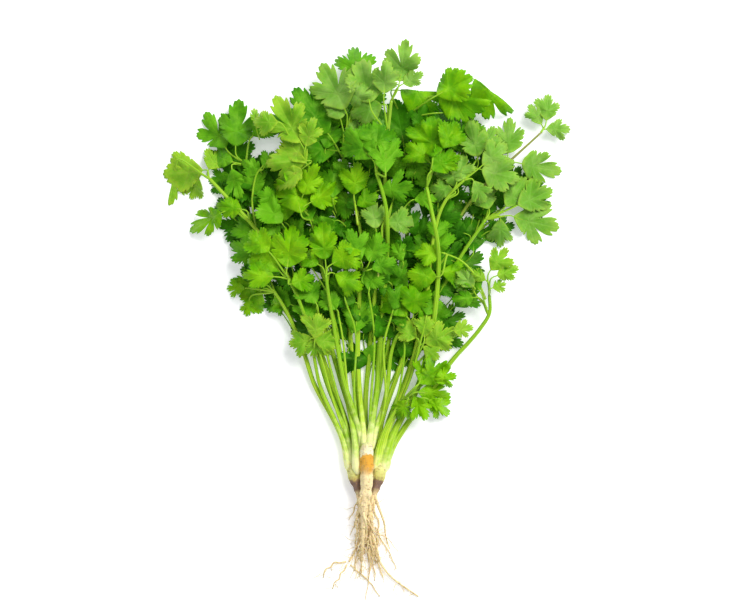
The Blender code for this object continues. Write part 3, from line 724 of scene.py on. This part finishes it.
UNDER = ((0.21, 0.45, 0.08), (0.12, 0.35, 0.04), (0.34, 0.56, 0.14))
LEAF_SKINS = {
    "bright": leaf_skin(
        "leaf_bright_upper", (0.2, 0.46, 0.003), (0.075, 0.29, 0.001), (0.27, 0.53, 0.015), 0.46, 0.3),
    "mid": leaf_skin(
        "leaf_mid_upper", (0.12, 0.37, 0.008), (0.035, 0.2, 0.002), (0.17, 0.44, 0.02), 0.48, 0.25),
    # The dark skin is leaf green darkened to the shade that lies deep among the leaves: painted shade.
    "dark": leaf_skin(
        "leaf_dark_upper", (0.045, 0.23, 0.003), (0.009, 0.095, 0.002), (0.06, 0.25, 0.01), 0.48, 0.2),
    "pale": leaf_skin(
        "leaf_pale_upper", (0.225, 0.425, 0.07), (0.115, 0.32, 0.022), (0.32, 0.55, 0.12), 0.62, 0.3,
        (0.3, 0.48, 0.05)),
    "young": leaf_skin(
        "leaf_young_upper", (0.25, 0.475, 0.026), (0.125, 0.345, 0.01), (0.4, 0.6, 0.08), 0.48, 0.35,
        (0.36, 0.5, 0.03)),
}
leaf_under = leaf_skin("leaf_underside", *UNDER, 0.64, 0.3, vein_share=0.5)

# Name: tone, the place on the stalk where its stems start, mm, then its leaflets from the lowest
# to the topmost: place of the base, heading in degrees, length, width, depth of the cuts, slope
# along and across in degrees, lift in mm, tint, and 1 or -1 where the left or right half is folded under.
LEAVES = {
    "leaf_back_1": ("pale", (13, 119), [
        (17, 126, 79, 23, 17, 0.55, 8, 0, 0, 0.4),
        (18, 126, 28, 13, 8, 0.3, 6, 0, 0.5, 0.5),
    ]),
    "leaf_back_2": ("pale", (10, 101), [
        (2, 114, 102, 27, 18, 0.4, 6, -8, 0, 0.3),
        (9, 120, 84, 18, 13, 0.35, 8, 12, 1, 0.6),
        (9, 116, 196, 18, 14, 0.2, 4, 0, -1, -0.5),
    ]),
    "leaf_back_3": ("pale", (-13, 94), [
        (-11, 112, 114, 29, 23, 0.5, 8, 4, 0, 0.2),
        (-8, 114, 60, 17, 13, 0.35, 6, 0, 0.5, 0.0),
        (-13, 104, 104, 24, 10, 0.1, 8, 12, 1, -0.3),
        (-7, 96, 80, 20, 12, 0.4, 4, 8, 1.5, -0.2),
    ]),
    "leaf_back_4": ("mid", (-13, 88), [
        (-20, 100, 128, 31, 25, 0.35, 4, 4, 0, -0.5),
        (-16, 92, 172, 22, 21, 0.35, 2, 0, 1, -0.6),
        (-5, 127, 95, 21, 20, 0.3, 6, -4, 5, 0.5),
    ]),
    "leaf_back_5": ("bright", (19, 111), [
        (14, 124, -3, 32, 20, 0.5, 2, 6, 6, -0.3, 1),
        (35, 121, -6, 30, 20, 0.2, 3, 6, 5, -0.3, 1),
        (36, 120, 30, 22, 18, 0.08, 4, 2, 9, 0.0),
    ]),
    "leaf_back_6": ("bright", (21, 112), [
        (56, 131, -36, 28, 22, 0.35, 0, 6, 4, 0.0, 1),
        (38, 112, 5, 28, 18, 0.1, 4, 4, -5, -0.4, -1),
    ]),
    "leaf_back_7": ("dark", (21, 86), [
        (20, 94, 98, 25, 30, 0.35, 4, 2, 0, 0.2),
        (37, 97, 60, 21, 20, 0.35, 4, 2, 1, 0.5),
        (27, 100, 75, 17, 15, 0.3, 6, 4, 3, 0.9),
    ]),
    "leaf_left_1": ("young", (-86, 78), [
        (-88, 82, 186, 22, 20, 0.14, -14, 6, 5, 0.0),
        (-91, 78, 246, 12, 12, 0.25, -14, 8, 2, -0.3),
        (-103, 87, 258, 23, 16, 0.75, -10, 0, 2, -0.2, -1),
        (-86, 82, 62, 13, 12, 0.35, 6, 0, 2, 0.3),
    ]),
    "leaf_left_2": ("bright", (-62, 54), [
        (-75, 60, 205, 23, 12, 0.65, -6, 10, 1, 0.0),
        (-66, 60, 170, 15, 10, 0.35, 3, 10, 2, 0.2),
    ]),
    "leaf_left_3": ("dark", (-50, 37), [
        (-57, 40, 142, 19, 19, 0.35, 2, 0, 0, 0.2),
        (-63, 50, 170, 17, 17, 0.35, 0, 0, -2, 0.4),
    ]),
    "leaf_left_4": ("mid", (-67, 86), [
        (-76, 93, 122, 23, 19, 0.7, 4, 0, 0, 0.8),
        (-71, 92, 88, 27, 19, 0.45, 8, 6, 2, 0.1),
        (-62, 100, 40, 13, 13, 0.3, 4, 0, 5, 1.1),
        (-72, 86, 160, 15, 14, 0.35, 0, 4, 1, 0.7),
        (-73, 83, 286, 17, 15, 0.45, 0, 4, 3, 1.1),
    ]),
    "leaf_left_5": ("dark", (-48, 53), [
        (-55, 63, 140, 27, 25, 0.35, 3, 0, -3, 0.3),
        (-50, 62, 105, 28, 26, 0.35, 4, 0, -1, 0.0),
        (-62, 70, 112, 19, 16, 0.35, 2, 0, 0, 0.6),
    ]),
    "leaf_left_6": ("young", (-34, 83), [
        (-34, 93, 120, 30, 21, 0.75, 6, 4, 2, 0.2),
        (-32, 84, 128, 20, 19, 0.4, 4, 4, 2.5, 0.0),
        (-33, 92, 74, 17, 12, 0.6, 8, -6, 3, 0.3),
        (-31, 86, 182, 22, 16, 0.3, 2, 4, 3.5, -0.1),
        (-31, 84, 214, 21, 8, 0.12, 0, 14, 4.5, 0.2),
        (-47, 106, 178, 13, 12, 0.25, 0, 6, 5, -0.7),
    ]),
    "leaf_left_7": ("bright", (-30, 53), [
        (-35, 57, 104, 26, 24, 0.4, 8, 4, 6, 0.2),
        (-35, 66, 66, 19, 12, 0.4, 8, -6, 8, 0.9),
        (-33, 62, 32, 21, 11, 0.3, 6, -6, 7, 0.6),
        (-38, 60, 176, 14, 13, 0.3, 0, 6, 4, -0.2),
    ]),
    "leaf_left_8": ("bright", (-51, 17), [
        (-56, 20, 176, 17, 15, 0.4, -4, 0, 1, 0.2),
        (-57, 17, 232, 15, 13, 0.45, -6, 4, 0, 0.1),
        (-66, 18, 180, 10, 10, 0.35, -4, 0, 2, 0.5),
        (-64, 12, 262, 9, 9, 0.45, -6, 0, 1, 0.3),
        (-50, 14, 285, 11, 8, 0.45, -6, 0, -1, -0.6),
    ]),
    "leaf_left_9": ("bright", (-43, 24), [
        (-46, 26, 128, 22, 19, 0.35, 6, 2, 0, 0.0),
        (-43, 27, 82, 24, 18, 0.35, 6, 2, 1.5, 0.2),
        (-49, 24, 176, 17, 15, 0.35, 0, 2, 1, 0.1),
        (-41, 20, 20, 13, 12, 0.35, 2, 0, 1.5, -0.3),
        (-52, 37, 135, 15, 15, 0.3, 2, 2, 3, 0.4),
    ]),
    "leaf_left_10": ("young", (-29, -16), [
        (-28, -9, 196, 14, 15, 0.2, 2, 0, 0, -0.5),
        (-29, -9, 346, 14, 15, 0.22, 2, 0, 1, -0.6),
        (-28, -10, 84, 14, 17, 0.25, 8, 0, 1.5, 0.7),
        (-28, -9, 268, 10, 13, 0.25, 2, 0, 0.5, -0.4),
    ]),
    "leaf_right_1": ("pale", (94, 103), [
        (96, 104, 4, 14, 11, 0.3, 0, 0, 0, 0.2),
        (95, 106, 120, 13, 10, 0.35, 3, 0, 0.5, 0.0),
        (97, 108, 82, 15, 13, 0.35, 6, 0, 2, -0.3),
    ]),
    "leaf_right_2": ("pale", (73, 84), [
        (80, 86, 350, 25, 14, 0.45, -4, -6, 0, -0.3),
        (76, 88, 86, 22, 13, 0.45, 4, 0, 1.5, -0.5),
        (73, 87, 160, 10, 9, 0.3, 2, 0, 2, 0.3),
    ]),
    "leaf_right_3": ("pale", (65, 56), [
        (78, 57, 345, 26, 22, 0.45, 0, -4, 0, -0.3),
        (74, 61, 52, 20, 16, 0.45, 4, 0, 1, -0.9),
        (80, 62, 26, 22, 17, 0.45, 2, 0, 2, -0.5),
        (72, 56, 270, 15, 14, 0.3, 0, 0, 1.5, -0.8),
        (66, 60, 108, 16, 14, 0.35, 3, 0, 1, -0.2),
    ]),
    "leaf_right_4": ("pale", (53, 77), [
        (60, 82, 345, 22, 17, 0.35, 2, -4, 0, 0.1),
        (61, 83, 42, 19, 15, 0.35, 4, 0, 1, 0.0),
        (57, 76, 300, 13, 12, 0.4, 0, 0, 1, -0.5),
    ]),
    "leaf_right_5": ("pale", (52, 78), [
        (60, 86, 100, 23, 14, 0.5, 4, 0, 0, -0.4),
        (62, 92, 62, 15, 12, 0.4, 2, 0, -3, -0.9),
    ]),
    "leaf_right_6": ("pale", (43, 66), [
        (49, 71, 112, 19, 17, 0.4, 4, 0, 0, -0.1),
        (48, 74, 74, 16, 13, 0.5, 4, 0, 1, -0.3),
        (47, 70, 172, 13, 12, 0.35, 2, 0, 1.5, -0.3),
    ]),
    "leaf_right_7": ("bright", (32, 73), [
        (35, 87, 92, 22, 24, 0.1, 4, 4, 1, -0.9),
        (40, 92, 60, 16, 16, 0.12, 4, 4, 2, -0.6),
        (34, 85, 142, 16, 16, 0.3, 4, 4, 2, -0.8),
        (37, 85, 12, 13, 12, 0.3, 2, -4, 2, -1.0),
        (34, 80, 40, 17, 15, 0.3, 6, 0, 3, -0.9),
    ]),
    "leaf_right_8": ("young", (66, 15), [
        (66, 27, 52, 15, 13, 0.4, 4, 0, 1, -0.3),
        (68, 24, 20, 14, 8, 0.4, 0, 6, 2, -0.2),
        (64, 22, 148, 9, 8, 0.35, 0, 0, 1, -0.1),
        (67, 18, 18, 8, 7, 0.35, 0, 0, 1, -0.1),
    ]),
    "leaf_right_9": ("mid", (63, 4), [
        (61, 16, 118, 14, 12, 0.3, 2, 0, 2, 0.9),
        (59, 13, 184, 13, 7, 0.45, -2, 0, 1, 0.1),
    ]),
    "leaf_right_10": ("bright", (20, -42), [
        (27, -38, 352, 18, 17, 0.55, -2, 0, 0, 0.9),
        (27, -34, 34, 20, 16, 0.55, 2, 0, 1.5, 0.6),
        (36, -31, 8, 12, 12, 0.5, -2, 0, 3, 1.0),
        (25, -40, 300, 14, 14, 0.5, -4, 0, 1, 1.2),
        (28, -33, 70, 14, 12, 0.5, 4, 0, 2.5, 0.3),
        (33, -42, 322, 14, 12, 0.45, -6, 0, 1, 1.3),
        (22, -42, 240, 12, 11, 0.45, -2, 0, 1, 0.5),
    ]),
    "leaf_front_1": ("mid", (5, 80), [
        (3, 86, 132, 21, 20, 0.4, 4, 0, 0, -0.2),
        (5, 87, 88, 21, 20, 0.4, 6, 0, 1, 0.0),
        (7, 86, 48, 15, 14, 0.35, 4, 0, 2, 0.4),
        (10, 78, 95, 18, 16, 0.35, 6, 4, 3, 0.7),
    ]),
    "leaf_front_2": ("mid", (-4, 27), [
        (-3, 32, 110, 18, 16, 0.4, 4, 0, 1, 0.9),
        (1, 31, 70, 17, 14, 0.4, 4, 0, 0, 0.6),
        (2, 28, 20, 14, 12, 0.35, 3, 0, 0, 0.4),
    ]),
    "leaf_front_3": ("young", (24, -26), [
        (30, -12, 20, 19, 15, 0.3, 3, 4, 1, 0.7),
        (31, -9, 88, 13, 13, 0.3, 4, 0, 2, 0.5),
        (30, -13, 320, 11, 10, 0.35, 0, 0, 0, 0.2),
        (46, -5, 8, 11, 9, 0.45, 0, 0, 0, 0.9),
        (27, -9, 150, 12, 11, 0.35, 2, 0, 1, 0.1),
    ]),
    "leaf_front_4": ("bright", (23, 0), [
        (22, 2, 132, 19, 17, 0.35, 4, 0, 0, -0.5),
        (25, 3, 84, 20, 17, 0.35, 5, 0, 1, -0.2),
        (27, 0, 28, 12, 11, 0.35, 2, 0, 1, -0.3),
    ]),
    "leaf_front_5": ("bright", (-22, 26), [
        (-22, 30, 96, 23, 13, 0.25, 8, 8, 1, -0.1),
        (-20, 30, 32, 20, 15, 0.3, 4, 0, 3, 0.1),
        (-18, 26, 332, 17, 14, 0.3, 2, -4, 3, -0.2),
        (-25, 30, 150, 13, 9, 0.3, 4, 4, 1, -0.6),
    ]),
}
# How much more ruffled than the rest a leaf is.
RUFFLED = {
    "leaf_right_10": 2.7, "leaf_right_7": 1.7, "leaf_back_5": 1.5, "leaf_back_6": 1.5, "leaf_left_7": 1.4,
}
FOOT_REACH = 8.0  # a leaf's stems start on a stalk if one passes this near, mm
for name, (tone, root, leaflets) in LEAVES.items():
    bed = bed_of(name)
    foot = np.array([*root, 0.0]) + [*SHIFT, 0]
    foot[2] = bed(foot[0], foot[1])
    spots = np.vstack(stalk_lines)
    nearest = np.linalg.norm((spots - foot) * [1, 1, 0.3], axis=1)
    if nearest.min() < FOOT_REACH:
        foot = spots[nearest.argmin()]
    shapes = []
    for order, row in enumerate(leaflets):
        shell, rib = leaflet(*row, bed=bed, ruffle=RUFFLED.get(name, 1.0))
        shapes += [shell, stem(foot, rib, 0.4)]
    piece(name, shapes, [LEAF_SKINS[tone], leaf_under, stalk_green], f"leaf_{tone}", name)

# ---- Leaves deep in the bunch ----
# Between the outer leaves lie more on side stems, pressed down into the heap; the two lower layers
# are in the dark leaf green, which is painted shade. They fill the heap from the surface up to the
# leaves on top and are seen only through the gaps. Each layer is three pieces side by side.

# Outline of the heap in plan, mm, and an open window in it.
HEAP = [
    (-30, -12), (-50, 8), (-62, 28), (-74, 52), (-80, 61), (-77, 84), (-70, 98), (-48, 90), (-38, 112),
    (-12, 122), (4, 108), (20, 108), (40, 112), (56, 100), (72, 84), (84, 66), (74, 50), (58, 36), (50, 14),
    (40, -12), (24, -22), (8, -24), (-8, -20), (-14, -18),
]
WINDOW = ((-56, 93), 9.0)
heap_draw = np.random.default_rng(23)


def inside(points, outline):
    """Whether each point is inside: a ray to the right crosses the outline an odd number of times."""
    a = np.array(outline, float)
    b = np.roll(a, -1, axis=0)
    x, y = points[:, :1], points[:, 1:]
    spans = (a[:, 1] > y) != (b[:, 1] > y)
    cross = a[:, 0] + (y - a[:, 1]) * (b[:, 0] - a[:, 0]) / np.where(b[:, 1] == a[:, 1], 1, b[:, 1] - a[:, 1])
    return (spans & (x < cross)).sum(axis=1) % 2 == 1


# Stretches of stalk that lie open, mm.
OPEN = np.array([
    [(-84, 76), (-60, 51)], [(60, 85), (36, 52)], [(90, 99), (50, 58)], [(64, 55), (42, 22)],
    [(6, -30), (11, 60)], [(-14, -40), (-22, 25)],
], float)
OPEN_MARGIN = 6.5  # how far the top layer keeps off them, mm
THIRDS = (-24, 20)  # where a layer is parted into its three pieces, mm


def scattered(spacing, draw, clearance):
    """Points of a triangular grid, each moved by up to a third of its spacing, inside the heap and off the
    open stalks.
    """
    rows, columns = np.mgrid[0:20, 0:20]
    x = (columns + 0.5 * (rows % 2)) * spacing - 90
    y = rows * spacing * 0.87 - 30
    points = np.stack([x.ravel(), y.ravel()], 1) + draw.uniform(-0.33, 0.33, (x.size, 2)) * spacing
    clear = np.linalg.norm(points - WINDOW[0], axis=1) > WINDOW[1] + 6
    span = OPEN[:, 1] - OPEN[:, 0]
    t = ((points[:, None] - OPEN[:, 0]) * span).sum(-1) / (span**2).sum(-1)
    away = np.linalg.norm(points[:, None] - OPEN[:, 0] - np.clip(t, 0, 1)[..., None] * span, axis=-1)
    clear &= away.min(axis=1) > clearance
    return points[inside(points, HEAP) & clear]


def nearest_stalk(rib):
    """The point of a stalk that is nearest to a place behind a leaflet's base, towards the crowns."""
    ahead = (rib[1] - rib[0]) / np.linalg.norm(rib[1] - rib[0])
    back = rib[0] - 4 * ahead
    down = np.array([0, -75, back[2]]) - back
    spots = np.vstack(stalk_lines)
    return spots[np.linalg.norm(spots - (back + 15 * down / np.linalg.norm(down)), axis=1).argmin()]


# Name: tone, spacing, lowest and highest height, mm.
LAYERS = {
    # The dark tone of the two lower layers is painted shade.
    "leaf_deep_low": ("dark", 12.0, 1.5, 6.0),
    "leaf_deep_mid": ("dark", 12.5, 6.0, 12.0),
    "leaf_deep_high": ("mid", 14.0, 11.0, 17.0),
}
for name, (tone, spacing, low, high) in LAYERS.items():
    thirds = {"left": [], "middle": [], "right": []}
    for x, y in scattered(spacing, heap_draw, OPEN_MARGIN if low > 10 else 0):
        outward = np.degrees(np.arctan2(y + 60, x)) + heap_draw.normal(0, 50)
        size = heap_draw.uniform(11, 19)
        level = heap_draw.uniform(low, high) * (1 - 0.7 * smooth(np.hypot(x / 75, (y - 50) / 65), 0.5, 1.1))
        slopes = heap_draw.normal(0, 13, 2)
        shell, rib = leaflet(
            x, y, outward, size, size * heap_draw.uniform(0.85, 1.05), heap_draw.uniform(0.1, 0.45), *slopes,
            0.0, heap_draw.uniform(-0.3, 1.2), bed=lambda gx, gy, level=level: level + 0 * gx, per_tooth=4,
        )
        third = "left" if x < THIRDS[0] else "middle" if x < THIRDS[1] else "right"
        thirds[third] += [shell, stem(nearest_stalk(rib), rib, 0.33, 0.8)]
    for third, shapes in thirds.items():
        piece(f"{name}_{third}", shapes, [LEAF_SKINS[tone], leaf_under, stalk_green], f"leaf_{tone}")

# ---- Side shoots ----
# Thin shoots branch from the stalks below the leaves on top, each with one to three small leaflets
# of its own. They thread through the bunch, as thick as string.

# Tone, radius, route from its stalk to its end, then leaflets as above with their own height, mm.
SHOOTS = [
    ("bright", 0.6, [(64, 12, 13), (58, 25, 16), (50, 33, 18), (40, 37, 20)], [
        (40, 37, 184, 14, 11, 0.3, 4, 0, 20, 0.4), (38, 24, 176, 16, 14, 0.2, 4, 0, 19, 0.1),
        (39, 27, -8, 15, 16, 0.2, 0, 0, 15, -0.2)]),
    ("pale", 0.45, [(65, 7, 12), (59, 14, 14), (56, 20, 15)], [
        (58, 18, 132, 13, 11, 0.4, 4, 0, 15, 0.1), (57, 15, 190, 10, 8, 0.4, 2, 0, 13, -0.4)]),
    ("mid", 0.6, [(-60, 50, 8), (-62, 64, 12), (-60, 78, 14), (-56, 84, 14)], [
        (-56, 82, 60, 11, 10, 0.35, 4, 0, 14, 0.9), (-57, 80, 150, 12, 10, 0.35, 4, 0, 13, 0.4)]),
    ("young", 0.35, [(-58, 98, 12), (-60, 106, 14), (-59, 113, 15)], [
        (-60, 106, 96, 9, 3.5, 0.3, 6, 20, 14, -0.7), (-59, 105, 70, 8, 3.0, 0.3, 6, 20, 14, -0.9)]),
    ("pale", 0.5, [(6, 24, 15), (7, 36, 18), (8, 47, 20)], [
        (5, 48, 98, 18, 12, 0.4, 4, 0, 21, 0.3), (10, 53, 4, 16, 13, 0.4, 0, 0, 19, 0.0)]),
    ("bright", 0.6, [(-5, 52, 17), (-6, 60, 19), (-7, 67, 21)], [
        (-7, 67, 86, 18, 15, 0.3, 4, 0, 21, 0.1), (-6, 62, 30, 13, 11, 0.3, 2, 0, 19, -0.4)]),
    ("mid", 0.75, [(1, -66, 3), (2, -44, 8), (4, -10, 10), (1, 15, 14)], [
        (1, 16, 80, 15, 14, 0.3, 4, 4, 14, -0.3)]),
    ("mid", 0.7, [(-3, -66, 3), (-7, -40, 8), (-6, -8, 11), (-12, 12, 14)], [
        (-12, 13, 100, 14, 13, 0.3, 4, -4, 14, 0.2)]),
    ("mid", 0.7, [(-5, -66, 3), (-10, -40, 10), (-13, -10, 14), (-16, 6, 15)], [
        (-16, 6, 128, 13, 11, 0.4, 8, 0, 16, 0.6)]),
    ("mid", 0.8, [(4, -66, 3), (10, -42, 9), (9, -14, 12), (14, 6, 14)], [
        (14, 6, 70, 14, 14, 0.4, 8, 0, 15.5, 0.4)]),
    ("mid", 0.7, [(7, -68, 3), (16, -42, 9), (20, -20, 12), (20, -5, 13)], [
        (20, -4, 110, 12, 12, 0.3, 0, 0, 13, 0.0)]),
    ("mid", 0.8, [(-7, -70, 3), (-16, -40, 8), (-23, -12, 12), (-27, 8, 15)], [
        (-27, 9, 120, 15, 14, 0.35, 2, 0, 15, 0.3)]),
    ("mid", 0.65, [(-9, -70, 3), (-18, -44, 8), (-24, -22, 12), (-31, -2, 13)], [
        (-31, -1, 100, 13, 13, 0.3, 0, 0, 13, 0.5)]),
    ("mid", 0.7, [(9, -68, 3), (19, -42, 8), (25, -26, 12), (32, 2, 16)], [
        (32, 3, 70, 12, 11, 0.3, 0, 0, 16, 0.2)]),
]
for order, (tone, radius, route, leaflets) in enumerate(SHOOTS):
    line = flowing(route, 1.6) + [*SHIFT, 0]
    share = np.linspace(0, 1, len(line))
    grown = {"along": 0.3 + 0.7 * share, "tint": np.sin(order * 1.7), "foot": 0.25 * (1 - share)}
    shapes = [tube(line, radius * (1.1 - 0.4 * share), 12, 2, 5, RIB_DEPTH, **grown)]
    for row in leaflets:
        shell, rib = leaflet(*row, bed=lambda gx, gy: 0 * gx)
        shapes += [shell, stem(line[-3], rib, 0.4)]
    piece(f"shoot_{order + 1}", shapes, [LEAF_SKINS[tone], leaf_under, stalk_green], f"leaf_{tone}")

# ---- The whole bunch ----
# Its box, round all that is shown but the table, in metres.

low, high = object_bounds()
